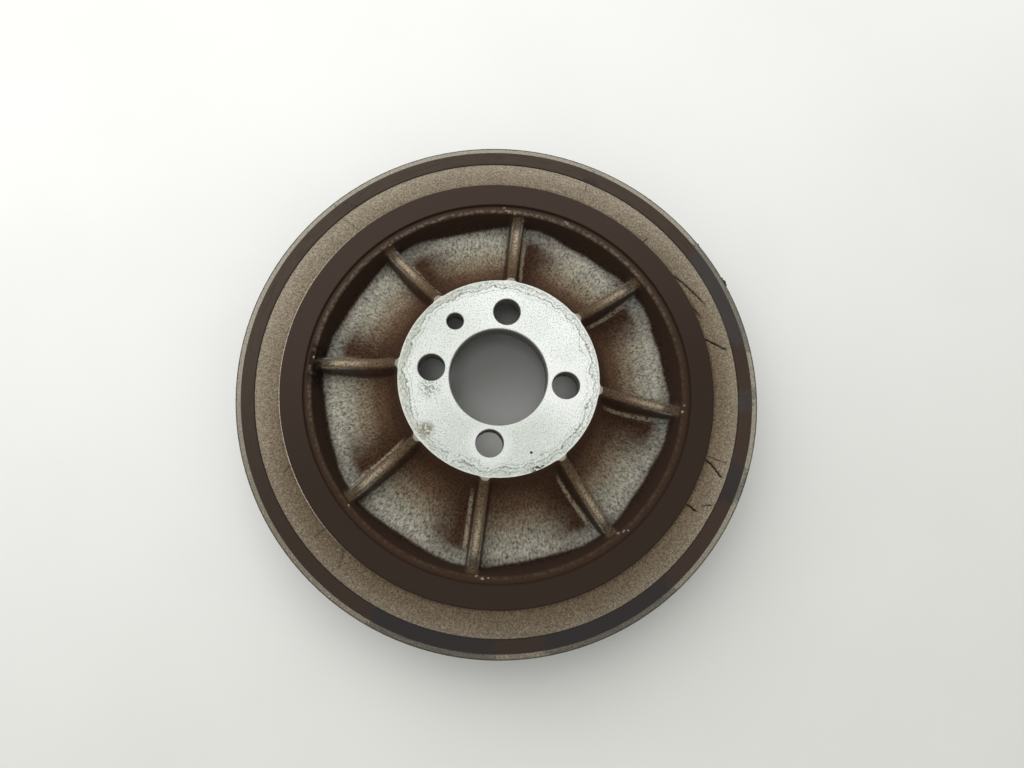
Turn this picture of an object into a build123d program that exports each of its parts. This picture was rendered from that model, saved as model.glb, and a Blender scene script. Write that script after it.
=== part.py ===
from build123d import *
from math import cos, radians, tan
import os

os.makedirs("parts", exist_ok=True)

# Engine harmonic balancer with a poly-V belt rim, lying on its front face.
# Three bonded pieces: a cast hub, a moulded rubber ring and an inertia ring.
# Millimetres. Z is the crankshaft axis; z = 0 is the inertia ring's front face.

# Hub: mounting face, bore and plate
HUB_FACE_R = 33.05  # machined face that seats on the crankshaft flange
HUB_PROUD = 13.4  # mounting face above the rear face of the rim
PLATE_THICKNESS = 6.7
BORE_R = 16.0
BORE_CHAMFER = 0.5

# Hub: M8 clearance holes, and the dowel hole that sets the timing
BOLT_COUNT = 4
BOLT_CIRCLE_R = 22.25
BOLT_HOLE_R = 4.5
DOWEL_CIRCLE_R = 23.6
DOWEL_ANGLE = 135
DOWEL_HOLE_R = 2.85
HOLE_CHAMFER = 0.3

# Hub: rim that the rubber is bonded to
RIM_R = 74.8
RIM_WIDTH = 26.0
RIM_SETBACK = 2.0  # front of the rim behind the front of the inertia ring
RIM_FACE_WIDTH = 7.9  # machined rear face
RIM_CHAMFER = 0.4
LEDGE_WIDTH = 2.7  # unmachined ledge inside that face
LEDGE_DROP = 1.0
LEDGE_ROUND = 0.8
WALL_LEAN = 3.2  # how far the inner wall leans in, down to the web
WALL_ROOT_ROUND = 3.0

# Hub: bell-shaped web between the plate and the rim
WEB_THICKNESS = 5.6
WEB_FOOT_DROP = 9.2  # foot of the web below the rear face of the rim
WEB_SLOPE = 12  # degrees above level, at the foot
BOSS_DRAFT = 17  # degrees off the axis, just below the mounting face
WEB_ROUND = 22.0
DISH_ROUND = 20.0  # front side of the same bend
FLANK_SHARE = 0.95  # most of the boss's flank that a bend takes up

# Hub: radial ribs on the rear side
RIB_COUNT = 8
RIB_WIDTH = 3.0  # across the flanks, where they are thinnest
RIB_DRAFT = 2  # degrees, each flank
RIB_TAB = 1.0  # crest cut flush with the mounting face, outside its edge
RIB_SAG = 1.0  # hollow of the crest below a straight line
RIB_END_DROP = 3.6  # end of the crest below the rear face of the rim
RIB_CREST_ROUND = 1.2
RIB_ROOT_ROUND = 1.6
FACING_STOCK = 3.0  # cast above the mounting face and turned off

# Rubber ring
RUBBER_THICKNESS = 8.9

# Inertia ring and its belt grooves
RING_WIDTH = 26.0
RING_WALL = 6.7
RING_BORE_CHAMFER = 0.3
RING_BEVEL_WIDTH = 1.9
RING_BEVEL_DROP = 0.4
GROOVE_COUNT = 6
GROOVE_PITCH = 3.56
GROOVE_DEPTH = 2.9
GROOVE_ANGLE = 40
GROOVE_FLOOR = 0.6
FLANGE_HEIGHT = 1.0
FLANGE_ANGLE = 25  # degrees off the radius, inner side of each flange

# Heights and radii that follow
rim_front_z = RIM_SETBACK
rim_rear_z = rim_front_z + RIM_WIDTH
face_z = rim_rear_z + HUB_PROUD
plate_front_z = face_z - PLATE_THICKNESS
ledge_outer_r = RIM_R - RIM_FACE_WIDTH
ledge_inner_r = ledge_outer_r - LEDGE_WIDTH
ledge_z = rim_rear_z - LEDGE_DROP
foot_r = ledge_inner_r - WALL_LEAN
foot_z = rim_rear_z - WEB_FOOT_DROP
ring_bore_r = RIM_R + RUBBER_THICKNESS
flange_r = ring_bore_r + RING_WALL
crest_r = flange_r - FLANGE_HEIGHT
draft_run = tan(radians(BOSS_DRAFT))
slope_rise = tan(radians(WEB_SLOPE))


def boss_r(z, depth=0):
    """Radius of the boss's flank at height z, this deep under its surface."""
    return HUB_FACE_R + (face_z - z) * draft_run - depth / cos(radians(BOSS_DRAFT))


def web_z(r, depth=0):
    """Height of the straight outer web at radius r, this deep under its surface."""
    return foot_z + (foot_r - r) * slope_rise - depth / cos(radians(WEB_SLOPE))


def web_corner(depth=0):
    """Point where the boss's flank and the straight web would meet."""
    r = boss_r(web_z(0, depth), depth) / (1 - slope_rise * draft_run)
    return (r, web_z(r, depth))


def bend_round(radius, flank_top_z, depth=0):
    """Radius of the bend in the web this deep, limited by the flank between it and flank_top_z."""
    flank = (flank_top_z - web_corner(depth)[1]) / cos(radians(BOSS_DRAFT))
    return min(radius, FLANK_SHARE * flank / tan(radians(90 - BOSS_DRAFT - WEB_SLOPE) / 2))


def wall_r(z):
    """Radius of the rim's inner wall at height z, above the web's foot."""
    return foot_r + (z - foot_z) / (ledge_z - foot_z) * WALL_LEAN


# One rib, buried in the boss, the web and the rim's inner wall
buried = WEB_THICKNESS / 2
stock_z = face_z + FACING_STOCK
crest_end_z = rim_rear_z - RIB_END_DROP
crest_end_r = wall_r(crest_end_z)
rib_start_r = HUB_FACE_R - WEB_THICKNESS
rib_end_r = crest_end_r + buried
rib_floor_z = web_z(rib_end_r, buried)

with BuildPart() as rib:
    with BuildSketch(Plane.XY.offset(stock_z)):
        with Locations(((rib_start_r + rib_end_r) / 2, 0)):
            Rectangle(rib_end_r - rib_start_r, RIB_WIDTH)
    extrude(amount=rib_floor_z - stock_z, taper=-RIB_DRAFT)
    with BuildSketch(Plane.XZ):
        with BuildLine():
            crest = SagittaArc((HUB_FACE_R + RIB_TAB, face_z), (crest_end_r, crest_end_z), -RIB_SAG)
            lead = PolarLine(crest @ 0, -(RIB_TAB + buried), direction=crest % 0)
            tail = PolarLine(crest @ 1, buried, direction=crest % 1)
            FilletPolyline(
                tail @ 1,
                ((tail @ 1).X, rib_floor_z),
                web_corner(buried),
                (boss_r(plate_front_z, buried), plate_front_z),
                ((lead @ 1).X, plate_front_z),
                lead @ 1,
                radius=[0, bend_round(WEB_ROUND, plate_front_z, buried), 0, 0],
            )
        make_face()
    extrude(amount=RIB_WIDTH * 2, both=True, mode=Mode.INTERSECT)
    tops = rib.faces().filter_by(lambda face: face.normal_at().Z > abs(face.normal_at().Y) + 0.1)
    fillet(tops.edges().filter_by(Axis.Y, reverse=True), RIB_CREST_ROUND)

# The hub: cast profile with its ribs, faced and drilled
with BuildPart() as hub:
    with BuildSketch(Plane.XZ.rotated((0, 0, 180 / RIB_COUNT))):
        with BuildLine():
            FilletPolyline(
                (BORE_R, plate_front_z),
                (boss_r(plate_front_z, WEB_THICKNESS), plate_front_z),
                web_corner(WEB_THICKNESS),
                (foot_r, web_z(foot_r, WEB_THICKNESS)),
                (ledge_inner_r, rim_front_z),
                (RIM_R - RIM_CHAMFER, rim_front_z),
                (RIM_R, rim_front_z + RIM_CHAMFER),
                (RIM_R, rim_rear_z - RIM_CHAMFER),
                (RIM_R - RIM_CHAMFER, rim_rear_z),
                (ledge_outer_r, rim_rear_z),
                (ledge_outer_r, ledge_z),
                (ledge_inner_r, ledge_z),
                (foot_r, foot_z),
                web_corner(),
                (boss_r(stock_z), stock_z),
                (BORE_R, stock_z),
                radius=[
                    0, 0, bend_round(DISH_ROUND, plate_front_z, WEB_THICKNESS), WALL_ROOT_ROUND,
                    0, 0, 0, 0, 0, 0, 0,
                    LEDGE_ROUND, WALL_ROOT_ROUND, bend_round(WEB_ROUND, face_z), 0, 0,
                ],
                close=True,
            )
        make_face()
    revolve(axis=Axis.Z)
    with PolarLocations(0, RIB_COUNT):
        add(rib.part)
    fillet(hub.edges(Select.NEW), RIB_ROOT_ROUND)
    with BuildSketch(Plane.XY.offset(face_z)):
        Circle(RIM_R)
    extrude(amount=2 * FACING_STOCK, mode=Mode.SUBTRACT)
    with Locations(Plane.XY.offset(face_z)):
        with PolarLocations(BOLT_CIRCLE_R, BOLT_COUNT):
            Hole(BOLT_HOLE_R)
        with PolarLocations(DOWEL_CIRCLE_R, 1, start_angle=DOWEL_ANGLE):
            Hole(DOWEL_HOLE_R)
    rings = hub.edges().filter_by(GeomType.CIRCLE)
    chamfer(rings.filter_by(lambda edge: edge.radius < BOLT_CIRCLE_R / 2), HOLE_CHAMFER)
    chamfer(rings.filter_by(lambda edge: abs(edge.radius - BORE_R) < HOLE_CHAMFER), BORE_CHAMFER)
    hub.part.label = "hub"
export_step(hub.part, "parts/hub.step")

# Rubber moulded between the rim and the inertia ring, flush with their chamfers
with BuildPart() as rubber_ring:
    with BuildSketch(Plane.XZ):
        with BuildLine():
            Polyline(
                (RIM_R, rim_front_z + RIM_CHAMFER),
                (ring_bore_r, RING_BORE_CHAMFER),
                (ring_bore_r, RING_WIDTH - RING_BORE_CHAMFER),
                (RIM_R, rim_rear_z - RIM_CHAMFER),
                close=True,
            )
        make_face()
    revolve(axis=Axis.Z)
    rubber_ring.part.label = "rubber_ring"
export_step(rubber_ring.part, "parts/rubber_ring.step")

# Inertia ring: a flanged rim with V grooves for the belt
belt_width = GROOVE_COUNT * GROOVE_PITCH
mouth_width = GROOVE_FLOOR + 2 * GROOVE_DEPTH * tan(radians(GROOVE_ANGLE / 2))
flange_gap = belt_width + 2 * FLANGE_HEIGHT * tan(radians(FLANGE_ANGLE))

with BuildPart() as inertia_ring:
    with BuildSketch(Plane.XZ):
        with BuildLine():
            Polyline(
                (ring_bore_r, RING_BORE_CHAMFER),
                (ring_bore_r + RING_BORE_CHAMFER, 0),
                (flange_r - RING_BEVEL_WIDTH, 0),
                (flange_r, RING_BEVEL_DROP),
                (flange_r, RING_WIDTH - RING_BEVEL_DROP),
                (flange_r - RING_BEVEL_WIDTH, RING_WIDTH),
                (ring_bore_r + RING_BORE_CHAMFER, RING_WIDTH),
                (ring_bore_r, RING_WIDTH - RING_BORE_CHAMFER),
                close=True,
            )
        make_face()
        with Locations((flange_r, RING_WIDTH / 2)):
            Trapezoid(
                flange_gap, FLANGE_HEIGHT, 90 - FLANGE_ANGLE,
                rotation=90, align=(Align.CENTER, Align.MIN), mode=Mode.SUBTRACT,
            )
        with Locations((crest_r, RING_WIDTH / 2)), GridLocations(0, GROOVE_PITCH, 1, GROOVE_COUNT):
            Trapezoid(
                mouth_width, GROOVE_DEPTH, 90 - GROOVE_ANGLE / 2,
                rotation=90, align=(Align.CENTER, Align.MIN), mode=Mode.SUBTRACT,
            )
    revolve(axis=Axis.Z)
    inertia_ring.part.label = "inertia_ring"
export_step(inertia_ring.part, "parts/inertia_ring.step")
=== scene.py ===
import bpy, math, random
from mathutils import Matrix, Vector, noise
from types import SimpleNamespace


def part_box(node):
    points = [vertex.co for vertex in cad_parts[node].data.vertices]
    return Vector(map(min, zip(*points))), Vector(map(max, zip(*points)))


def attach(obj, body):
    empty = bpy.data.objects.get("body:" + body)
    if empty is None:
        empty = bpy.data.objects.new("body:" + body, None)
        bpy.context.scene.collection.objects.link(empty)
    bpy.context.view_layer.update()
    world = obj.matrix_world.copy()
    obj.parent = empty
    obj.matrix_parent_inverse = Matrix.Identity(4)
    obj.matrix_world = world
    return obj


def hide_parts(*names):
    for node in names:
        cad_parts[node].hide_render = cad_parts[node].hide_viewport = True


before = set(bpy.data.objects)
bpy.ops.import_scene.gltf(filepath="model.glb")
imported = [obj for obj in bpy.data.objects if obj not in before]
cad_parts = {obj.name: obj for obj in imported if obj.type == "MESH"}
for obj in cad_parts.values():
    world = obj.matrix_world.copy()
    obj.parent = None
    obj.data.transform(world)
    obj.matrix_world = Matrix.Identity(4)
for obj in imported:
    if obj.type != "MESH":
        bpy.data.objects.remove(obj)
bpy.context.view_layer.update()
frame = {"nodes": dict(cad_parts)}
print("frame loaded:", ", ".join(frame["nodes"]))


# sizes of the frame in mm, which the finishes and the new pieces go by

def frameEdge(node, end, axis):  # end 0 is the low side of the node's box, 1 the high side
    return round(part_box(node)[end][axis] * 1000, 2)


faceTop = frameEdge("hub", 1, 2)
rimRadius = frameEdge("hub", 1, 0)
rimLow = frameEdge("hub", 0, 2)
rubberRadius = frameEdge("rubber_ring", 1, 0)
ringRadius = frameEdge("inertia_ring", 1, 0)
ringWidth = frameEdge("inertia_ring", 1, 2)
rimTop = rimLow + ringWidth  # the rim is as wide as the ring round it


def onCircle(radius, angle, z=0.0):
    return radius * math.cos(math.radians(angle)), radius * math.sin(math.radians(angle)), z


# node helpers: a socket or a number goes in, a socket comes out

def addNode(tree, kind, inputs=(), **settings):
    node = tree.nodes.new(kind)
    for name, value in settings.items():
        setattr(node, name, value)
    for key, value in dict(inputs).items():
        if isinstance(value, bpy.types.NodeSocket):
            tree.links.new(value, node.inputs[key])
        else:
            node.inputs[key].default_value = value
    return node


def calc(tree, operation, *values):
    return addNode(tree, "ShaderNodeMath", enumerate(values), operation=operation).outputs[0]


def calcVector(tree, operation, inputs, output="Vector"):
    return addNode(tree, "ShaderNodeVectorMath", inputs, operation=operation).outputs[output]


def joinAxes(tree, *values):
    return addNode(tree, "ShaderNodeCombineXYZ", enumerate(values)).outputs[0]


def splitAxes(tree, vector):
    return addNode(tree, "ShaderNodeSeparateXYZ", {0: vector}).outputs


def both(tree, *masks):  # masks and amounts multiplied together
    result = masks[0]
    for mask in masks[1:]:
        result = calc(tree, "MULTIPLY", result, mask)
    return result


def union(tree, masks):
    result = masks[0]
    for mask in masks[1:]:
        result = calc(tree, "MAXIMUM", result, mask)
    return result


def opposite(tree, mask):
    return calc(tree, "SUBTRACT", 1.0, mask)


def ramp(tree, value, start, end, low=0.0, high=1.0):  # smooth step from low to high
    sockets = {"Value": value, "From Min": start, "From Max": end, "To Min": low, "To Max": high}
    return addNode(tree, "ShaderNodeMapRange", sockets, interpolation_type="SMOOTHSTEP").outputs[0]


def band(tree, value, start, end, soft):  # 1 between start and end
    rise = ramp(tree, value, start - soft, start + soft)
    return both(tree, rise, ramp(tree, value, end - soft, end + soft, 1.0, 0.0))


def spot(tree, place, center, size, soft):  # 1 inside a round spot, in mm
    away = calcVector(tree, "DISTANCE", {0: place, 1: center}, "Value")
    return ramp(tree, away, size * (1 - soft), size * (1 + soft), 1.0, 0.0)


def sector(tree, turn, center, spread):  # 1 near this angle, 0 beyond the spread
    offset = calc(tree, "COSINE", calc(tree, "SUBTRACT", turn, math.radians(center)))
    edge = math.radians(spread)
    return ramp(tree, offset, math.cos(edge), math.cos(edge * 0.35))


def wave(tree, turn, count, shift, low, high):  # gentle swell, this many times in a turn
    swell = calc(tree, "SINE", calc(tree, "MULTIPLY_ADD", turn, count, math.radians(shift)))
    return ramp(tree, swell, -1.0, 1.0, low, high)


def grain(tree, vector, scale, detail=3.0, roughness=0.5, distortion=0.0):
    sockets = {"Vector": vector, "Scale": scale, "Detail": detail,
               "Roughness": roughness, "Distortion": distortion}
    return addNode(tree, "ShaderNodeTexNoise", sockets).outputs[0]


def speckle(tree, vector, scale, threshold, soft, detail=2.0):
    return ramp(tree, grain(tree, vector, scale, detail), threshold - soft, threshold + soft)


def tint(red, green, blue):  # screen colour, 0 to 255, to a shader colour
    linear = [((c / 255 + 0.055) / 1.055) ** 2.4 if c > 10 else c / 255 / 12.92
              for c in (red, green, blue)]
    return (*linear, 1.0)


def blendColor(tree, amount, below, above):
    sockets = {0: amount, 6: below, 7: above}
    return addNode(tree, "ShaderNodeMix", sockets, data_type="RGBA").outputs[2]


def paint(tree, color, *coats):  # each coat is an amount and a colour
    for amount, coat in coats:
        color = blendColor(tree, amount, color, coat)
    return color


def ladder(tree, value, steps):  # each step is a value and the colour that is reached there
    start, color = steps[0]
    for end, above in steps[1:]:
        color = blendColor(tree, ramp(tree, value, start, end), color, above)
        start = end
    return color


def shade(tree, color, factor):  # darker below 1, lighter above
    vector = color if isinstance(color, bpy.types.NodeSocket) else color[:3]
    return calcVector(tree, "SCALE", {0: vector, 3: factor})


def newMaterial(name):  # an empty material and the places its masks are made from, in mm and radians
    material = bpy.data.materials.new(name)
    material.use_nodes = True
    tree = material.node_tree
    tree.nodes.clear()
    coords = addNode(tree, "ShaderNodeTexCoord").outputs["Object"]
    place = calcVector(tree, "SCALE", {0: coords, 3: 1000.0})
    x, y, z = splitAxes(tree, place)
    flat = joinAxes(tree, x, y)
    return SimpleNamespace(
        material=material, tree=tree, place=place, flat=flat, z=z,
        radius=calcVector(tree, "LENGTH", {0: flat}, "Value"), turn=calc(tree, "ARCTAN2", y, x))


def addGrains(m, grains):  # noises kept under their names: scale, detail and roughness of each
    for name, settings in grains.items():
        setattr(m, name, grain(m.tree, m.place, *settings))


def finishMaterial(m, color, roughness, height, settings):
    bump = addNode(m.tree, "ShaderNodeBump", {
        "Height": height, "Distance": settings["bumpDepth"], "Strength": settings["bumpStrength"]})
    shader = addNode(m.tree, "ShaderNodeBsdfPrincipled", {
        "Base Color": color, "Roughness": roughness, "Normal": bump.outputs[0],
        "Metallic": settings["metallic"], "Specular IOR Level": settings["shine"]})
    addNode(m.tree, "ShaderNodeOutputMaterial", {0: shader.outputs[0]})
    return m.material


# stage: table, lights and camera

stageValues = {
    # the table's two tints are painted shade and painted light at the two ends of its fade
    "tableSize": 16.0, "tablePaintedShade": tint(221, 222, 217), "tablePaintedLight": tint(243, 244, 241),
    "lightFadeAlong": (-0.371, 0.857, 0.0), "lightFadeReach": 150.0, "cloudScale": 0.012, "cloudShade": 0.97,
    "tableRoughness": 0.5, "grainScale": 0.8,
    "bumpDepth": 0.0001, "bumpStrength": 0.2, "metallic": 0.0, "shine": 0.3,
    "skyColor": (1.0, 1.0, 0.98, 1.0), "skyStrength": 0.55, "backdropStrength": 0.85,
    "keySize": 1.5, "keyPlace": (-0.5, 0.62, 1.05), "keyPower": 12.8,
    "topSize": 0.16, "topPlace": (-0.06, -0.19, 1.0), "topPower": 0.6,
}
cameraValues = {
    "place": (-0.00423, -0.05538, 0.28404), "turn": (12.32, -0.187, 7.859),
    "lens": 26.72, "shift": (0.0459, -0.0039), "clipStart": 0.01,
}


def makeTable():
    v = stageValues
    bpy.ops.mesh.primitive_plane_add(size=v["tableSize"])
    table = bpy.context.active_object
    table.name = "table"
    m = newMaterial("paleTable")
    tree = m.tree
    clouds = grain(tree, m.place, v["cloudScale"], 4.0)
    # painted light and shade: the table is painted brighter towards the upper left and darker towards the
    # lower right
    along = calcVector(tree, "DOT_PRODUCT", {0: m.place, 1: v["lightFadeAlong"]}, "Value")
    fade = ((-v["lightFadeReach"], v["tablePaintedShade"]), (v["lightFadeReach"], v["tablePaintedLight"]))
    color = shade(tree, ladder(tree, along, fade), ramp(tree, clouds, 0.3, 0.7, 1.0, v["cloudShade"]))
    height = grain(tree, m.place, v["grainScale"])
    table.data.materials.append(finishMaterial(m, color, v["tableRoughness"], height, v))


def makeSky():  # soft light all round, and a brighter backdrop where the camera sees it
    v = stageValues
    world = bpy.data.worlds.new("softRoom")
    bpy.context.scene.world = world
    world.use_nodes = True
    tree = world.node_tree
    rays = addNode(tree, "ShaderNodeLightPath").outputs
    seen = union(tree, [rays["Is " + kind + " Ray"] for kind in ("Camera", "Glossy", "Transmission")])
    strength = ramp(tree, seen, 0.0, 1.0, v["skyStrength"], v["backdropStrength"])
    background = tree.nodes["Background"]
    background.inputs["Color"].default_value = v["skyColor"]
    tree.links.new(strength, background.inputs["Strength"])


def makeLamps():
    v = stageValues
    for name in ("key", "top"):
        place = v[name + "Place"]
        bpy.ops.object.light_add(type="AREA", location=place)
        lamp = bpy.context.active_object
        lamp.name = name + "Lamp"
        lamp.data.size = v[name + "Size"]
        lamp.data.energy = v[name + "Power"]
        lamp.rotation_euler = (-Vector(place)).to_track_quat("-Z", "Y").to_euler()


def makeCamera():
    v = cameraValues
    bpy.ops.object.camera_add(location=v["place"], rotation=[math.radians(a) for a in v["turn"]])
    camera = bpy.context.active_object
    camera.data.lens = v["lens"]
    camera.data.shift_x, camera.data.shift_y = v["shift"]
    camera.data.clip_start = v["clipStart"]
    bpy.context.scene.camera = camera
    bpy.context.scene.view_settings.view_transform = "Standard"


# hub: casting browned by oil and dust, with ribs, a stained rim and a bright mounting face

hubValues = {
    "ribCount": 8, "bumpDepth": 0.0004, "bumpStrength": 0.9, "metallic": 0.0, "shine": 0.07,
    "castRoughness": 0.75, "turnedRoughness": 0.5, "ridgeRate": 14.0,  # ridges in radians a mm
    "grains": {"clouds": (0.09, 4.0, 0.55), "sand": (1.6, 4.0, 0.6), "fine": (4.5, 2.0, 0.6)},
    "streaks": (1.4, 3.0, 0.66, 0.5), "streakTurn": 52.0, "streakReach": 0.55, "wander": 5.0,
    # web: radii where the dust changes, and where each stain starts and ends, as a radius or as a
    # share of the way from one rib to the next
    "dustByRadius": [
        (35.0, tint(66, 46, 33)), (41.0, tint(92, 71, 54)), (47.0, tint(126, 113, 94)),
        (52.0, tint(146, 141, 125)), (57.0, tint(160, 156, 143)), (61.0, tint(122, 118, 108))],
    "oilBrown": tint(66, 46, 33), "deepBrown": tint(46, 33, 25), "corner": tint(132, 131, 121),
    "leeStart": (0.42, 0.86), "leeBack": (0.86, 0.97), "leeFade": (55.0, 62.0),
    "leeSlant": -8.0, "leeShift": 7.0,
    "nearRib": (0.03, 0.14), "cornerStart": (0.68, 0.88), "cornerFade": (54.5, 60.0),
    "pitFade": (42.0, 52.0), "wallFootDark": (60.3, 61.6), "topWave": (-70.0, -0.6, 0.9),
    # ribs: spans along the radius, and bands across the rib from its middle
    "tan": tint(97, 80, 61), "ribTopDustAndHighlight": tint(178, 164, 142), "rootDust": tint(156, 142, 120),
    "ribSpan": (34.0, 62.4), "ribEdge": (1.15, 1.8), "ribDim": (36.0, 42.0), "ribFade": (55.0, 60.0),
    "crestEdge": (0.1, 1.4), "crestStart": (40.0, 53.0), "crestFade": (55.5, 60.0),
    "rootBefore": (-2.6, -1.8), "rootAfter": (1.9, 2.9),
    "driftBand": (-4.1, -2.9), "driftSpan": (38.0, 57.0),
    "capSpan": (61.0, 64.0), "capEdge": (1.2, 2.4), "capRise": (23.6, 24.2),
    # rim: its inner wall, the ledge, the turned faces, painted step shadows and a dark patch of oil and
    # painted shadow
    "wall": tint(56, 42, 34), "wallStart": (61.2, 62.2),
    "ledge": tint(58, 43, 32), "ledgeLit": tint(80, 67, 57), "ledgeGlint": tint(134, 122, 110),
    "ledgeSpan": (63.9, 66.75), "ledgeRise": (25.6, 26.4), "glintSpan": (64.1, 65.3),
    "ledgeStepShadow": (66.3, 67.0), "ledgeGlintSpecks": (0.7, 0.53, 0.15, 4.0),
    "rimFace": tint(49, 38, 31), "rimLit": tint(70, 58, 50), "rimStart": 66.7, "rimStepShadow": (66.8, 67.25),
    "litAngle": 115.0, "litSpread": 110.0,
    "grimeAndShadow": tint(24, 18, 15), "grimeShadowAngle": 181.0, "grimeShadowSpread": 9.0,
    "grimeShadowSpan": (61.5, 65.8), "grimeShadowRise": (20.0, 22.0), "grimeShadowSpecks": (0.6, 0.42, 0.1),
    # front side: the dish
    "dishDust": tint(132, 124, 108), "dishTop": (18.0, 17.4), "dishDustSpan": (44.0, 60.0),
}


def addHubGrains(m):  # noises and places that the hub's masks share
    v = hubValues
    tree = m.tree
    pitch = math.tau / v["ribCount"]
    m.upward = splitAxes(tree, addNode(tree, "ShaderNodeTexCoord").outputs["Normal"])[2]
    m.share = calc(tree, "FRACT", calc(tree, "DIVIDE", m.turn, pitch))  # 0 at a rib, 1 at the next
    fromRib = calc(tree, "WRAP", m.turn, pitch / 2, -pitch / 2)
    m.side = calc(tree, "MULTIPLY", m.radius, calc(tree, "SINE", fromRib))  # mm across the nearest rib
    m.away = calc(tree, "ABSOLUTE", m.side)
    addGrains(m, v["grains"])
    along = calc(tree, "MULTIPLY", m.turn, v["streakTurn"])
    outwards = joinAxes(tree, along, calc(tree, "MULTIPLY", m.radius, v["streakReach"]), m.z)
    m.streaks = grain(tree, outwards, *v["streaks"])
    m.wander = calc(tree, "MULTIPLY_ADD", m.clouds, v["wander"], -v["wander"] / 2)  # mm in or out
    m.edge = calc(tree, "ADD", m.radius, m.wander)
    m.lit = sector(tree, m.turn, v["litAngle"], v["litSpread"])


def webColor(m):  # dust thickens outwards, and a dark lee lies before the next rib
    v = hubValues
    tree = m.tree
    dust = ladder(tree, calc(tree, "MULTIPLY_ADD", m.wander, 0.6, m.radius), v["dustByRadius"])
    leeShare = calc(tree, "MULTIPLY_ADD", m.clouds, 0.3, calc(tree, "SUBTRACT", m.share, 0.15))
    leeEnd = calc(tree, "ADD", m.edge, v["leeShift"])
    leeEnd = calc(tree, "MULTIPLY_ADD", m.share, v["leeSlant"], leeEnd)  # further out close to the rib
    lee = both(tree, ramp(tree, leeShare, *v["leeStart"]), ramp(tree, m.share, *v["leeBack"], 1.0, 0.5),
               ramp(tree, leeEnd, *v["leeFade"], 1.0, 0.1))
    near = ramp(tree, m.share, *v["nearRib"], 0.5, 0.0)
    corner = both(tree, ramp(tree, m.share, *v["cornerStart"]), ramp(tree, m.edge, *v["cornerFade"]), 0.8)
    # a darker band where the web meets the foot of the rim wall
    swell = calc(tree, "ADD", m.radius, wave(tree, m.share, math.tau, *v["topWave"]))
    top = ramp(tree, calc(tree, "MULTIPLY_ADD", m.wander, 0.35, swell), *v["wallFootDark"])
    web = paint(tree, dust, (lee, v["oilBrown"]), (near, v["oilBrown"]), (corner, v["corner"]),
                (top, v["deepBrown"]))
    web = shade(tree, web, ramp(tree, m.streaks, 0.3, 0.7, 0.44, 1.5))
    pits = both(tree, ramp(tree, m.streaks, 0.39, 0.31), ramp(tree, m.radius, *v["pitFade"], 0.3, 1.0),
                opposite(tree, top))
    return paint(tree, web, (both(tree, pits, 0.6), v["deepBrown"]))


def addRibs(m, color):  # dusty crest with a painted highlight, a dark line along each root, dust again beyond the clockwise one
    v = hubValues
    tree = m.tree
    outward = band(tree, m.radius, *v["ribSpan"], 0.8)
    body = both(tree, ramp(tree, m.away, *v["ribEdge"], 1.0, 0.0), outward)
    # the crest: dust with a painted highlight along its middle
    crestDustAndHighlight = both(tree, body, ramp(tree, m.away, *v["crestEdge"], 1.0, 0.0),
                 ramp(tree, m.radius, *v["crestStart"]), ramp(tree, m.radius, *v["crestFade"], 1.0, 0.1),
                 ramp(tree, m.sand, 0.36, 0.58, 0.2, 1.0))
    rootAfter = both(tree, band(tree, m.side, *v["rootAfter"], 0.4), 0.9)
    roots = both(tree, union(tree, [band(tree, m.side, *v["rootBefore"], 0.45), rootAfter]), outward)
    drift = both(tree, band(tree, m.side, *v["driftBand"], 0.3), band(tree, m.radius, *v["driftSpan"], 2.5),
                 ramp(tree, m.streaks, 0.36, 0.54))
    light = both(tree, ramp(tree, m.sand, 0.32, 0.68, 0.5, 1.45),
                 ramp(tree, m.radius, *v["ribFade"], 1.0, 0.4), ramp(tree, m.radius, *v["ribDim"], 0.7, 1.0))
    wall = both(tree, ramp(tree, m.radius, *v["wallStart"]), opposite(tree, body))
    capEnd = both(tree, band(tree, m.radius, *v["capSpan"], 0.6), ramp(tree, m.z, *v["capRise"]),
                  ramp(tree, m.away, *v["capEdge"], 1.0, 0.0), ramp(tree, m.sand, 0.35, 0.6))
    color = paint(tree, color, (both(tree, drift, 0.95), v["rootDust"]),
                  (both(tree, roots, 0.85), v["deepBrown"]),
                  (both(tree, body, 0.9), shade(tree, v["tan"], light)),
                  (both(tree, crestDustAndHighlight, 0.9), v["ribTopDustAndHighlight"]))
    return paint(tree, color, (both(tree, wall, 0.85), v["wall"]), (both(tree, capEnd, 0.7), v["tan"]))


def addDish(m, color):  # front side, evenly browned
    v = hubValues
    tree = m.tree
    front = union(tree, [ramp(tree, m.upward, -0.05, -0.15), ramp(tree, m.z, *v["dishTop"])])
    dust = both(tree, ramp(tree, m.edge, *v["dishDustSpan"]), ramp(tree, m.streaks, 0.35, 0.65), 0.5)
    dish = paint(tree, v["oilBrown"], (ramp(tree, m.clouds, 0.35, 0.7, 0.0, 0.7), v["tan"]),
                 (dust, v["dishDust"]))
    return paint(tree, color, (front, shade(tree, dish, ramp(tree, m.streaks, 0.28, 0.72, 0.65, 1.35))))


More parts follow.
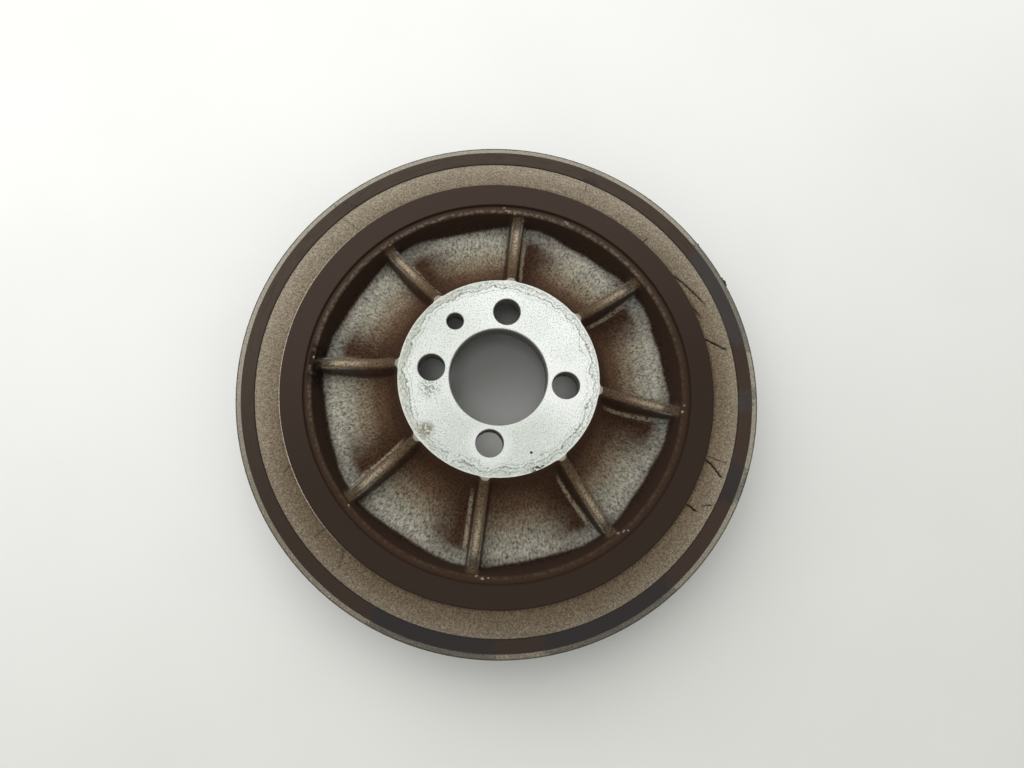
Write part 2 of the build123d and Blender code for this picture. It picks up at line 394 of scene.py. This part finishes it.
def addLedge(m, color):  # rough ledge inside the rim's rear face
    v = hubValues
    tree = m.tree
    ledge = both(tree, band(tree, m.radius, *v["ledgeSpan"], 0.2), ramp(tree, m.z, *v["ledgeRise"]))
    # painted glints: bright specks on the ledge, strongest on its lit side
    speck = both(tree, speckle(tree, m.place, *v["ledgeGlintSpecks"]), ramp(tree, m.lit, 0.0, 1.0, 0.1, 0.6),
                 band(tree, m.radius, *v["glintSpan"], 0.4))
    # painted shadow of the small step between the rim face and the ledge
    stepShadow = band(tree, m.radius, *v["ledgeStepShadow"], 0.2)
    ledgeColor = paint(tree, v["ledge"], (both(tree, m.lit, 0.5), v["ledgeLit"]), (speck, v["ledgeGlint"]),
                       (both(tree, stepShadow, 0.7), v["deepBrown"]))
    return paint(tree, color, (ledge, ledgeColor))


def rimMask(m):  # 1 on the rim's turned faces, rear and front
    rear = both(m.tree, ramp(m.tree, m.z, rimTop - 0.7, rimTop - 0.4),
                ramp(m.tree, m.radius, hubValues["rimStart"] - 0.1, hubValues["rimStart"] + 0.1))
    front = both(m.tree, ramp(m.tree, m.z, rimLow + 0.6, rimLow + 0.3), ramp(m.tree, m.upward, -0.5, -0.7))
    return union(m.tree, [rear, front])


def addRim(m, color, rim):
    v = hubValues
    tree = m.tree
    # painted shadow of the small step at the inner edge of the rim face
    stepShadow = band(tree, m.radius, *v["rimStepShadow"], 0.12)
    rimColor = paint(tree, v["rimFace"], (both(tree, m.lit, 0.7), v["rimLit"]),
                     (ramp(tree, m.fine, 0.4, 0.7, 0.0, 0.4), v["deepBrown"]),
                     (both(tree, stepShadow, 0.7), v["deepBrown"]))
    # a dark patch on the inner wall by one rib: oil with painted wall shadow
    grimeAndShadow = both(tree, sector(tree, m.turn, v["grimeShadowAngle"], v["grimeShadowSpread"]),
                 band(tree, m.radius, *v["grimeShadowSpan"], 0.5), speckle(tree, m.place, *v["grimeShadowSpecks"]),
                 ramp(tree, m.z, *v["grimeShadowRise"]), 0.85)
    return paint(tree, color, (rim, rimColor), (grimeAndShadow, v["grimeAndShadow"]))


# hub's mounting face: bright, with painted light and shade by sector, tide lines, flecks, pale halos and
# stains

faceValues = {  # the values of its specks are scale, level, soft edge and detail
    "machined": tint(232, 237, 231), "cloud": tint(206, 212, 205),
    "fleck": tint(158, 164, 157), "fleckSpecks": (2.2, 0.57, 0.06, 3.0),
    "pale": tint(236, 240, 236), "paleSpecks": (1.7, 0.62, 0.06, 3.0),
    "foam": tint(162, 166, 152), "foamStart": (29.6, 31.0), "foamSpecks": (1.6, 0.5, 0.1, 4.0),
    "tideGrain": (0.15, 5.0, 0.62), "tideWander": 8.0, "tideLine": tint(96, 104, 98), "tideGaps": (0.5, 3.0),
    "tideStain": tint(154, 150, 126), "tideStart": (29.4, 31.5), "tideSpecks": (0.7, 0.45, 0.12, 4.0),
    "tideAngle": 165.0, "tideSpread": 75.0,
    "outerEdge": tint(222, 226, 220), "outerEdgeStart": (32.3, 33.0), "tab": tint(122, 108, 92),
    "tabStart": (33.0, 33.5), "halo": tint(240, 240, 238), "boreHalo": (17.0, 19.5),
}
# painted light and painted shade on the mounting face, lighter on one side and darker on the other
faceLitAndShadedSectors = [  # angle, spread, strength and colour
    (45.0, 110.0, 0.85, tint(250, 253, 249)), (145.0, 35.0, 0.2, tint(206, 208, 198)),
    (275.0, 75.0, 0.75, tint(198, 205, 197)),
]
tideLines = [  # inner and outer radius and soft edge in mm, then strength
    (30.45, 30.75, 0.14, 1.0), (29.15, 29.35, 0.12, 0.7), (32.0, 32.25, 0.12, 0.7),
]
boltHalos = [(0.0, 7.6, 0.55), (270.0, 7.0, 0.4)]  # angle of the hole, radius in mm and strength
faceStains = [  # place and size in mm, soft edge, its specks' scale, level and soft edge, strength, colour
    ((-20.9, -20.6), 2.4, 0.6, (1.3, 0.44, 0.12), 0.85, tint(112, 98, 62)),
    ((-22.0, -7.0), 3.0, 0.6, (1.6, 0.5, 0.08), 0.7, tint(96, 98, 92)),
    ((16.8, -28.6), 2.6, 0.5, (1.1, 0.56, 0.05), 0.9, hubValues["deepBrown"]),
]
facePit = ((13.6, -23.4, faceTop), 0.45, 0.3)  # place, radius and soft edge
drillValues = {
    "boltCount": 4, "boltCircle": 22.25, "boltHole": 4.8, "dowelCircle": 23.6, "dowelAngle": 135.0,
    "dowelHole": 3.1, "boreRadius": 16.5, "wall": tint(104, 102, 96), "dirt": tint(70, 66, 60),
    # the lip colour is a painted highlight along the top edge of the holes
    "lipHighlight": tint(150, 152, 146),
}


def tideCoats(m):  # foam, a stain and thin lines where liquid has dried
    v = faceValues
    tree = m.tree
    swing = grain(tree, m.place, *v["tideGrain"])
    swing = calc(tree, "MULTIPLY_ADD", swing, v["tideWander"], -v["tideWander"] / 2)
    tide = calc(tree, "ADD", m.radius, swing)
    foam = both(tree, ramp(tree, tide, *v["foamStart"]), speckle(tree, m.place, *v["foamSpecks"]), 0.55)
    stain = both(tree, ramp(tree, tide, *v["tideStart"]), speckle(tree, m.place, *v["tideSpecks"]),
                 sector(tree, m.turn, v["tideAngle"], v["tideSpread"]), 0.45)
    lines = union(tree, [both(tree, band(tree, tide, *edges), strength) for *edges, strength in tideLines])
    lines = both(tree, lines, ramp(tree, grain(tree, m.place, *v["tideGaps"]), 0.3, 0.48), 0.9)
    return (foam, v["foam"]), (stain, v["tideStain"]), (lines, v["tideLine"])


def haloMask(m):  # pale rings round the bore and two of the bolt holes
    tree = m.tree
    halos = [ramp(tree, m.radius, *faceValues["boreHalo"], 0.2, 0.0)]
    for angle, size, strength in boltHalos:
        center = onCircle(drillValues["boltCircle"], angle, faceTop)
        halos.append(both(tree, spot(tree, m.place, center, size, 0.3), strength))
    return union(tree, halos)


def stainCoats(m):
    coats = []
    for (x, y), size, soft, specks, strength, color in faceStains:
        stain = spot(m.tree, m.place, (x, y, faceTop), size, soft)
        coats.append((both(m.tree, stain, speckle(m.tree, m.place, *specks), strength), color))
    return *coats, (spot(m.tree, m.place, *facePit), hubValues["deepBrown"])


def addFace(m, color, face):
    v = faceValues
    tree = m.tree
    # painted light and painted shade by angle round the face
    litAndShadedSectors = [(both(tree, sector(tree, m.turn, angle, spread), strength), coat)
               for angle, spread, strength, coat in faceLitAndShadedSectors]
    flecks = both(tree, speckle(tree, m.place, *v["fleckSpecks"]), 0.65)
    pale = both(tree, speckle(tree, m.place, *v["paleSpecks"]), 0.6)
    outerEdge = both(tree, ramp(tree, m.radius, *v["outerEdgeStart"]), 0.6)
    tabs = both(tree, ramp(tree, m.radius, *v["tabStart"]), 0.8)
    faceColor = paint(tree, v["machined"], *litAndShadedSectors, (ramp(tree, m.clouds, 0.3, 0.75, 0.0, 0.3), v["cloud"]),
                      (flecks, v["fleck"]), (pale, v["pale"]), *tideCoats(m), (outerEdge, v["outerEdge"]),
                      (haloMask(m), v["halo"]), *stainCoats(m), (tabs, v["tab"]))
    return paint(tree, color, (face, faceColor))


def boreMask(m):  # 1 inside the bore, the bolt holes and the dowel hole
    v = drillValues
    tree = m.tree
    drilled = [ramp(tree, m.radius, v["boreRadius"] + 0.1, v["boreRadius"] - 0.1),
               spot(tree, m.flat, onCircle(v["dowelCircle"], v["dowelAngle"]), v["dowelHole"], 0.02)]
    for i in range(v["boltCount"]):
        center = onCircle(v["boltCircle"], i * 360 / v["boltCount"])
        drilled.append(spot(tree, m.flat, center, v["boltHole"], 0.02))
    return both(tree, union(tree, drilled), ramp(tree, m.z, faceTop - 0.1, faceTop - 0.25))


def addBores(m, color, bores):
    v = drillValues
    dirt = ramp(m.tree, m.fine, 0.4, 0.7, 0.0, 0.5)
    # painted highlight along the top edge of each hole
    lipHighlight = ramp(m.tree, m.z, faceTop - 0.7, faceTop - 0.3, 0.0, 0.45)
    return paint(m.tree, color, (bores, paint(m.tree, v["wall"], (dirt, v["dirt"]), (lipHighlight, v["lipHighlight"]))))


def hubHeight(m, smooth):  # sandy where it is cast, faint rings where it is turned
    tree = m.tree
    rough = calc(tree, "MULTIPLY_ADD", m.streaks, 0.7, calc(tree, "MULTIPLY", m.sand, 0.5))
    ridge = calc(tree, "MULTIPLY", m.clouds, 3.0)
    ridges = calc(tree, "SINE", calc(tree, "MULTIPLY_ADD", m.radius, hubValues["ridgeRate"], ridge))
    turned = calc(tree, "MULTIPLY_ADD", ridges, 0.03, calc(tree, "MULTIPLY", m.fine, 0.12))
    return calc(tree, "ADD", both(tree, opposite(tree, smooth), rough), both(tree, smooth, turned))


def makeHubFinish():
    v = hubValues
    m = newMaterial("castHubFinish")
    addHubGrains(m)
    rim = rimMask(m)
    face = ramp(m.tree, m.z, faceTop - 0.3, faceTop - 0.1)
    bores = boreMask(m)
    color = addRibs(m, webColor(m))
    color = addDish(m, color)
    color = addLedge(m, color)
    color = addRim(m, color, rim)
    color = addFace(m, color, face)
    color = addBores(m, color, bores)
    smooth = union(m.tree, [rim, face, bores])
    roughness = ramp(m.tree, smooth, 0.0, 1.0, v["castRoughness"], v["turnedRoughness"])
    return finishMaterial(m, color, roughness, hubHeight(m, smooth), v)


# rubber ring: moulded, lumpy and dusty, with radial cracks that open the surface

rubberValues = {
    "columns": 1500, "rows": 18, "weldReach": 0.00001, "smoothAngle": 50.0,
    # section in mm: how far its edges lie inside the rim's and the ring's ends, the heights past which
    # a point is on an end face, and the strips beside the metal that stay in line or calm
    "rimInset": 0.4, "ringInset": 0.3, "topZone": 20.0, "lowZone": 3.0,
    "wallReach": 0.05, "heldEdge": 0.1, "calmEdge": 0.5,
    # cracks: how far they pull the surface together, and how their lines bend, in mm and waves a mm
    "grip": 1.3, "pull": 0.65, "endFade": 0.8, "endReach": 0.3, "fullDepth": 0.6, "crackMiddle": 79.0,
    "bend": (0.35, 0.8), "jag": (0.12, 3.1), "frontStretch": -1.7, "frontShift": 40.0,
    # lumps, in metres; they are mostly sunk, so the ring keeps inside its own space
    "lumpSize": 0.0009, "lumpHeight": 0.00022, "swellSize": 0.0045, "swellHeight": 0.000264,
    "middleLevel": 0.75,
    "dustByRadius": [(75.0, tint(82, 69, 55)), (77.6, tint(116, 102, 83)), (84.4, tint(142, 131, 113))],
    "brown": tint(104, 90, 72), "lit": tint(186, 177, 160), "litAngle": 115.0, "litSpread": 105.0,
    "shadow": tint(72, 60, 47), "shadowAngle": 268.0, "shadowSpread": 80.0, "crackShade": tint(30, 25, 20),
    # the lip colour is a painted highlight on a thin line along the rubber's inner edge, on one side
    "lipHighlight": tint(190, 180, 160), "lipSpan": (74.8, 75.15), "lipAngle": 185.0, "lipSpread": 60.0,
    "grains": {"lumps": (1.2, 3.0, 0.6), "fine": (2.8, 3.0, 0.65), "clouds": (0.07, 3.0)},
    "roughness": 0.8, "bumpDepth": 0.0004, "bumpStrength": 1.0, "metallic": 0.0, "shine": 0.1,
}
rubberCracks = [  # angle, slant in degrees a mm, inner and outer radius, depth and half width in mm
    (8.0, 0.2, 74.9, 78.0, 0.25, 0.14), (18.4, -0.5, 74.9, 82.2, 0.9, 0.24),
    (21.0, -2.2, 74.9, 76.4, 0.7, 0.3), (31.6, -2.1, 74.9, 79.9, 0.9, 0.26),
    (52.5, 0.0, 74.8, 77.6, 0.5, 0.16), (73.0, 0.2, 80.0, 83.5, 0.35, 0.12),
    (139.0, 0.1, 75.0, 83.5, 0.25, 0.16), (210.8, 0.3, 74.9, 78.0, 0.3, 0.3),
    (228.2, 0.0, 74.9, 80.0, 0.25, 0.36), (236.6, 0.3, 74.9, 81.0, 0.2, 0.45),
    (335.0, 0.0, 74.9, 79.4, 0.8, 0.24), (336.4, 0.5, 80.0, 83.5, 0.5, 0.18),
    (346.5, -0.35, 74.9, 82.6, 0.9, 0.26), (348.8, 0.0, 74.9, 82.8, 0.4, 0.14),
]


def widen(start, stop, drop):  # next ring of vertices, scaled out or in, then moved along the axis
    bpy.ops.mesh.extrude_edges_move()
    bpy.ops.transform.resize(value=(stop / start, stop / start, 1), center_override=(0, 0, 0))
    bpy.ops.transform.translate(value=(0, 0, drop / 1000))


def sweepRing():  # the plain ring: one circle extruded round its section
    v = rubberValues
    innerTop, outerTop = rimTop - v["rimInset"], ringWidth - v["ringInset"]
    innerLow, outerLow = rimLow + v["rimInset"], v["ringInset"]
    bpy.ops.object.select_all(action="DESELECT")
    bpy.ops.mesh.primitive_circle_add(vertices=v["columns"], radius=rimRadius / 1000,
                                      location=(0, 0, innerTop / 1000))
    ring = bpy.context.active_object
    ring.name = "rubberRing"
    bpy.ops.object.transform_apply(location=True, rotation=True, scale=True)
    bpy.ops.object.mode_set(mode="EDIT")
    width = rubberRadius - rimRadius
    radii = [rimRadius + width * i / v["rows"] for i in range(v["rows"] + 1)]
    for start, stop in zip(radii, radii[1:]):
        widen(start, stop, (outerTop - innerTop) / v["rows"])
    for step in range(2):
        widen(1, 1, (outerLow - outerTop) / 2)
    for stop, start in reversed(list(zip(radii, radii[1:]))):
        widen(start, stop, (innerLow - outerLow) / v["rows"])
    widen(1, 1, (innerTop - innerLow) / 2)
    closeRing()
    return ring


def closeRing():
    bpy.ops.mesh.select_all(action="SELECT")
    bpy.ops.mesh.remove_doubles(threshold=rubberValues["weldReach"])
    bpy.ops.mesh.select_all(action="DESELECT")
    bpy.ops.mesh.select_non_manifold()
    bpy.ops.mesh.bridge_edge_loops()
    bpy.ops.mesh.select_all(action="SELECT")
    bpy.ops.mesh.normals_make_consistent(inside=False)
    bpy.ops.object.mode_set(mode="OBJECT")


def crackLine(crackAngle, slant, radius):  # angle of a crack's line at this radius
    v = rubberValues
    bend, slow = v["bend"]
    jag, quick = v["jag"]
    stray = bend * noise.noise(Vector((radius * slow, crackAngle, 0.0)))
    stray += jag * noise.noise(Vector((radius * quick, crackAngle, 4.0)))
    return math.radians(crackAngle + slant * (radius - v["crackMiddle"])) + stray / radius


def openCracks(radius, angle, inside, atTop):  # pulls a point to the cracks near it, and sinks it there
    v = rubberValues
    deep = share = 0.0
    for crackAngle, slant, low, high, depth, half in rubberCracks:
        if not atTop:  # the front face has cracks of its own
            crackAngle = crackAngle * v["frontStretch"] + v["frontShift"]
        lean = math.radians(slant) * v["crackMiddle"]  # mm along the ring for each mm outwards
        tilt = math.hypot(1.0, lean)
        turn = angle - crackLine(crackAngle, slant, radius)
        across = ((turn + math.pi) % math.tau - math.pi) * radius / tilt
        ends = min(radius - low, high - radius)
        fade = min(1.0, (ends + v["endReach"]) / v["endFade"])
        if abs(across) < v["grip"] and fade > 0:
            move = -v["pull"] * fade * (1 - abs(across) / v["grip"]) * across
            across += move
            angle += move / tilt / radius
            if inside > v["heldEdge"]:
                radius -= move * lean / tilt
            deep = max(deep, fade * depth * max(0.0, 1 - abs(across) / half))
            dark = max(0.0, min(1.0, 1.5 - abs(across) / half))
            share = max(share, fade * min(1.0, depth / v["fullDepth"]) * dark)
    return radius, angle, deep, share


def crackRing(ring):  # opens the cracks, and returns how much of each vertex is crack
    v = rubberValues
    openFaces = ring.vertex_groups.new(name="openFaces")
    crackShare = []
    for vertex in ring.data.vertices:
        point = vertex.co * 1000
        radius = math.hypot(point.x, point.y)
        inside = min(radius - rimRadius, rubberRadius - radius)
        atTop = point.z > v["topZone"]
        share = weight = 0.0
        if inside > v["wallReach"] or atTop or point.z < v["lowZone"]:
            angle = math.atan2(point.y, point.x)
            radius, angle, deep, share = openCracks(radius, angle, inside, atTop)
            z = point.z - deep if atTop else point.z + deep
            vertex.co = Vector((radius * math.cos(angle), radius * math.sin(angle), z)) / 1000
            weight = min(1.0, max(0.0, inside / v["calmEdge"]))
        openFaces.add([vertex.index], weight, "REPLACE")
        crackShare.append(share)
    return crackShare


def addLumps(ring):
    v = rubberValues
    for name in ("lump", "swell"):
        texture = bpy.data.textures.new(name, "CLOUDS")
        texture.noise_scale = v[name + "Size"]
        texture.noise_depth = 2
        displace = ring.modifiers.new(name, "DISPLACE")
        displace.texture = texture
        displace.strength = v[name + "Height"]
        displace.mid_level = v["middleLevel"]
        displace.vertex_group = "openFaces"
        bpy.ops.object.modifier_apply(modifier=name)


def makeRubber():
    ring = sweepRing()
    crackShare = crackRing(ring)
    addLumps(ring)
    ring.data.attributes.new("crackShade", "FLOAT", "POINT")
    ring.data.attributes["crackShade"].data.foreach_set("value", crackShare)
    bpy.ops.object.shade_smooth_by_angle(angle=math.radians(rubberValues["smoothAngle"]))
    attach(ring, "root")
    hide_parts("rubber_ring")
    ring.data.materials.append(makeRubberFinish())
    print("rubber ring:", len(ring.data.polygons), "faces")


def makeRubberFinish():
    v = rubberValues
    m = newMaterial("rubberFinish")
    tree = m.tree
    addGrains(m, v["grains"])
    cracks = addNode(tree, "ShaderNodeAttribute", attribute_name="crackShade").outputs["Fac"]
    lit = both(tree, sector(tree, m.turn, v["litAngle"], v["litSpread"]), 0.2)
    shadow = both(tree, sector(tree, m.turn, v["shadowAngle"], v["shadowSpread"]), 0.35)
    # painted highlight on the rubber's inner edge, on one side only
    lipHighlight = both(tree, band(tree, m.radius, *v["lipSpan"], 0.1),
               sector(tree, m.turn, v["lipAngle"], v["lipSpread"]), 0.7)
    color = ladder(tree, calc(tree, "MULTIPLY_ADD", m.lumps, 1.6, m.radius), v["dustByRadius"])
    color = paint(tree, color, (ramp(tree, m.clouds, 0.35, 0.7, 0.0, 0.2), v["brown"]),
                  (lit, v["lit"]), (shadow, v["shadow"]), (lipHighlight, v["lipHighlight"]))
    color = shade(tree, color, ramp(tree, m.fine, 0.3, 0.7, 0.5, 1.55))
    color = shade(tree, color, ramp(tree, m.lumps, 0.3, 0.7, 0.75, 1.25))
    # painted shade along the middle of each crack, stronger where it is deep
    color = paint(tree, color, (both(tree, cracks, 0.9), v["crackShade"]))
    height = calc(tree, "ADD", m.lumps, calc(tree, "MULTIPLY", m.fine, 0.7))
    return finishMaterial(m, color, v["roughness"], height, v)


# inertia ring: turned faces with oil smears, polished belt grooves

ringValues = {
    "litAngle": 125.0, "litSpread": 110.0, "dullAngle": 262.0, "dullSpread": 90.0, "ridgeRate": 24.0,
    "face": tint(62, 50, 42), "faceLit": tint(78, 69, 61), "faceShaded": tint(44, 36, 30),
    "faceStreak": tint(54, 44, 37), "faceSpeck": tint(84, 74, 62),
    "seam": tint(42, 34, 28), "seamSpan": (83.7, 84.1),
    "bevel": tint(146, 141, 126), "bevelLit": tint(166, 160, 147), "bevelShaded": tint(96, 89, 75),
    "bevelDirt": tint(96, 88, 72), "bevelSpeck": tint(210, 206, 194), "bevelWidth": 1.9, "endDepth": 0.5,
    "corner": tint(60, 54, 44), "cornerStart": (89.85, 90.15),
    "groove": tint(92, 88, 80), "grooveWorn": tint(140, 138, 132), "grooveStreak": tint(80, 70, 58),
    "grooveFloor": tint(40, 34, 28), "crestDust": tint(92, 84, 70), "grooveStart": (85.0, 85.4),
    "wornStart": (87.6, 89.3), "floorStart": (87.4, 86.8), "crestStart": (89.6, 90.2),
    "smear": tint(42, 41, 43), "smearPale": tint(62, 60, 60), "paleAngle": 30.0, "paleSpread": 50.0,
    "smearLevel": (1.62, 1.78), "smearRise": (24.6, 25.6),
    "grains": {"clouds": (0.12, 4.0, 0.6), "fine": (3.0, 3.0, 0.6), "sand": (1.2, 4.0, 0.65)},
    "streaks": (1.2, 4.0, 0.6), "streakTurn": 12.0, "raggedness": 0.5,
    "bumpDepth": 0.00012, "bumpStrength": 0.7, "metallic": 0.0, "shine": 0.08,
}
ringSmears = [  # angle, spread, strength
    (4.5, 5.0, 0.5), (30.0, 17.0, 1.0), (73.0, 4.0, 0.4), (137.0, 3.0, 0.4),
    (263.0, 19.0, 1.0), (303.0, 20.0, 1.0), (345.0, 7.0, 0.7),
]


def addRingGrains(m):
    v = ringValues
    tree = m.tree
    addGrains(m, v["grains"])
    around = joinAxes(tree, calc(tree, "MULTIPLY", m.turn, v["streakTurn"]), m.radius, m.z)
    m.streaks = grain(tree, around, *v["streaks"])
    inner = calc(tree, "SUBTRACT", m.radius, v["raggedness"] / 2)
    m.ragged = calc(tree, "MULTIPLY_ADD", m.sand, v["raggedness"], inner)  # radius with a torn edge
    # sectors of painted light and painted shade round the ring
    m.lit = sector(tree, m.turn, v["litAngle"], v["litSpread"])
    m.dull = sector(tree, m.turn, v["dullAngle"], v["dullSpread"])


def ringFaceColor(m):
    v = ringValues
    tree = m.tree
    # the face is painted lighter on its lit side and darker on its shaded side
    return paint(tree, v["face"], (both(tree, m.lit, 0.6), v["faceLit"]),
                 (both(tree, m.dull, 0.5), v["faceShaded"]),
                 (ramp(tree, m.streaks, 0.4, 0.7, 0.0, 0.4), v["faceStreak"]),
                 (ramp(tree, m.fine, 0.5, 0.75, 0.0, 0.35), v["faceSpeck"]),
                 (both(tree, band(tree, m.radius, *v["seamSpan"], 0.12), 0.6), v["seam"]))


def addBevel(m, color, bevel):
    v = ringValues
    tree = m.tree
    # painted light and painted shade on the bevel, by the same sectors
    bevelColor = paint(tree, v["bevel"], (both(tree, m.lit, 0.5), v["bevelLit"]),
                       (both(tree, m.dull, 0.7), v["bevelShaded"]),
                       (ramp(tree, m.sand, 0.45, 0.7, 0.0, 0.6), v["bevelDirt"]),
                       (ramp(tree, m.fine, 0.5, 0.7, 0.0, 0.5), v["bevelSpeck"]),
                       (ramp(tree, m.ragged, *v["cornerStart"], 0.0, 0.85), v["corner"]))
    return paint(tree, color, (bevel, bevelColor))


def addGrooves(m, color):
    v = ringValues
    tree = m.tree
    grooves = both(tree, band(tree, m.z, v["endDepth"], ringWidth - v["endDepth"], 0.08),
                   ramp(tree, m.radius, *v["grooveStart"]))
    grooveColor = paint(tree, v["groove"], (ramp(tree, m.radius, *v["wornStart"]), v["grooveWorn"]),
                        (ramp(tree, m.streaks, 0.4, 0.75, 0.0, 0.6), v["grooveStreak"]),
                        (ramp(tree, m.radius, *v["floorStart"], 0.0, 0.7), v["grooveFloor"]),
                        (both(tree, ramp(tree, m.radius, *v["crestStart"]), 0.6), v["crestDust"]))
    return paint(tree, color, (grooves, grooveColor))


def smearMask(m):  # oil wiped over the rear face
    v = ringValues
    tree = m.tree
    smears = union(tree, [both(tree, sector(tree, m.turn, angle, spread), strength)
                          for angle, spread, strength in ringSmears])
    torn = calc(tree, "MULTIPLY_ADD", m.sand, 0.9, calc(tree, "MULTIPLY_ADD", m.clouds, 1.6, smears))
    return both(tree, ramp(tree, torn, *v["smearLevel"]), ramp(tree, m.z, *v["smearRise"]),
                ramp(tree, m.streaks, 0.3, 0.6, 0.95, 0.65))


def makeRingFinish():
    v = ringValues
    m = newMaterial("ringFinish")
    tree = m.tree
    addRingGrains(m)
    low, high, start = v["endDepth"], ringWidth - v["endDepth"], ringRadius - v["bevelWidth"]
    atEnd = union(tree, [ramp(tree, m.z, high - 0.2, high), ramp(tree, m.z, low + 0.2, low)])
    bevel = both(tree, ramp(tree, m.ragged, start - 0.1, start + 0.1), atEnd)
    smears = smearMask(m)
    paleSide = sector(tree, m.turn, v["paleAngle"], v["paleSpread"])
    smearColor = blendColor(tree, paleSide, v["smear"], v["smearPale"])
    color = addGrooves(m, addBevel(m, ringFaceColor(m), bevel))
    color = paint(tree, color, (both(tree, smears, opposite(tree, both(tree, bevel, 0.35))), smearColor))
    ridge = calc(tree, "MULTIPLY", m.z, v["ridgeRate"])
    turned = calc(tree, "SINE", calc(tree, "MULTIPLY_ADD", m.radius, v["ridgeRate"], ridge))
    height = calc(tree, "MULTIPLY_ADD", turned, 0.2, calc(tree, "MULTIPLY", m.fine, 0.8))
    roughness = calc(tree, "SUBTRACT", ramp(tree, m.streaks, 0.3, 0.8, 0.5, 0.65), both(tree, smears, 0.15))
    return finishMaterial(m, color, roughness, height, v)


# loose bits: casting crumbs at the rib ends, torn rubber on the rear edge

bitValues = {
    "seed": 4, "tilt": 0.3, "twist": 0.5, "stray": 9, "smoothAngle": 40.0,
    "lump": (0.45, 1600), "pit": (0.25, 4200),  # share of the size, and bumps a metre
    "crumb": tint(158, 146, 126), "crumbDark": tint(84, 70, 55), "crumbStretch": 1.3, "crumbFlatten": 0.75,
    "shred": tint(34, 33, 32), "shredDark": tint(62, 60, 56), "shredStretch": 1.9, "shredFlatten": 0.35,
    "speck": (2.2, 4.0, 0.6), "roughness": 0.8,
    "bumpDepth": 0.0002, "bumpStrength": 0.8, "metallic": 0.0, "shine": 0.2,
}
crumbSpots = [  # angle, radius, height and size in mm
    (91.6, 64.3, 26.7, 0.5), (93.2, 64.6, 26.9, 0.62), (94.3, 64.9, 27.0, 0.4),
    (88.6, 62.9, 24.6, 0.45), (271.4, 64.4, 26.8, 0.42), (273.2, 65.0, 27.0, 0.5),
    (275.0, 64.7, 26.9, 0.34), (316.4, 64.3, 26.7, 0.5), (318.0, 64.8, 27.0, 0.34),
    (319.2, 65.5, 27.0, 0.32), (359.6, 64.4, 26.8, 0.42), (1.6, 64.9, 27.0, 0.36),
    (46.6, 64.5, 26.9, 0.4), (134.2, 64.2, 26.6, 0.42), (179.0, 64.4, 26.8, 0.38),
    (227.3, 64.5, 26.9, 0.36), (74.2, 65.2, 27.0, 0.55), (75.1, 65.6, 27.0, 0.35),
    (94.9, 66.0, 27.0, 0.42),
]
shredSpots = [
    (32.0, 90.3, 25.5, 0.42), (32.8, 90.5, 25.6, 0.5), (33.6, 90.3, 25.5, 0.38),
    (43.2, 90.2, 25.5, 0.34), (57.0, 90.0, 25.6, 0.26), (58.6, 90.1, 25.6, 0.34),
    (59.9, 90.1, 25.6, 0.3), (61.2, 90.0, 25.6, 0.26), (36.2, 90.0, 25.6, 0.26),
    (28.9, 90.0, 25.6, 0.26),
]


def makeBit(angle, radius, height, size, shape):
    v = bitValues
    center = Vector(onCircle(radius, angle, height)) / 1000
    tilt = random.uniform(-v["tilt"], v["tilt"])
    twist = random.uniform(-v["twist"], v["twist"])
    bpy.ops.object.select_all(action="DESELECT")
    bpy.ops.mesh.primitive_ico_sphere_add(subdivisions=3, radius=size / 1000, location=center,
                                          rotation=(0, tilt, math.radians(angle) + twist))
    bit = bpy.context.active_object
    bit.scale = (1.0, v[shape + "Stretch"], v[shape + "Flatten"])
    bpy.ops.object.transform_apply(location=True, rotation=True, scale=True)
    start = Vector((random.uniform(-v["stray"], v["stray"]), random.uniform(-v["stray"], v["stray"]), size))
    lump, slow = v["lump"]
    pit, quick = v["pit"]
    for vertex in bit.data.vertices:
        away = vertex.co - center
        swell = lump * noise.noise(away * slow / size ** 0.5 + start)
        swell += pit * noise.noise(away * quick + start)
        vertex.co = center + away * (1.0 + swell)
    return bit


def makeBits(name, spots, shape):
    v = bitValues
    random.seed(v["seed"])
    bits = [makeBit(*values, shape) for values in spots]
    for bit in bits:
        bit.select_set(True)
    bpy.ops.object.join()
    piece = bpy.context.active_object
    piece.name = name
    bpy.ops.object.origin_set(type="ORIGIN_CURSOR")
    bpy.ops.object.shade_smooth_by_angle(angle=math.radians(v["smoothAngle"]))
    piece.data.materials.append(makeBitFinish(shape))
    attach(piece, "root")
    return piece


def makeBitFinish(shape):
    v = bitValues
    m = newMaterial(shape + "Finish")
    speck = grain(m.tree, m.place, *v["speck"])
    color = paint(m.tree, v[shape], (ramp(m.tree, speck, 0.35, 0.65), v[shape + "Dark"]))
    return finishMaterial(m, color, v["roughness"], speck, v)


def makeLooseBits():
    makeBits("ribEndCrumbs", crumbSpots, "crumb")
    makeBits("edgeShreds", shredSpots, "shred")
    print("loose bits placed")


def dress(node, material):
    frame["nodes"][node].data.materials.clear()
    frame["nodes"][node].data.materials.append(material)


bpy.ops.object.select_all(action="DESELECT")
makeTable()
makeSky()
makeLamps()
makeCamera()
print("stage ready")
dress("hub", makeHubFinish())
makeRubber()
makeLooseBits()
dress("inertia_ring", makeRingFinish())
print("finishes ready")
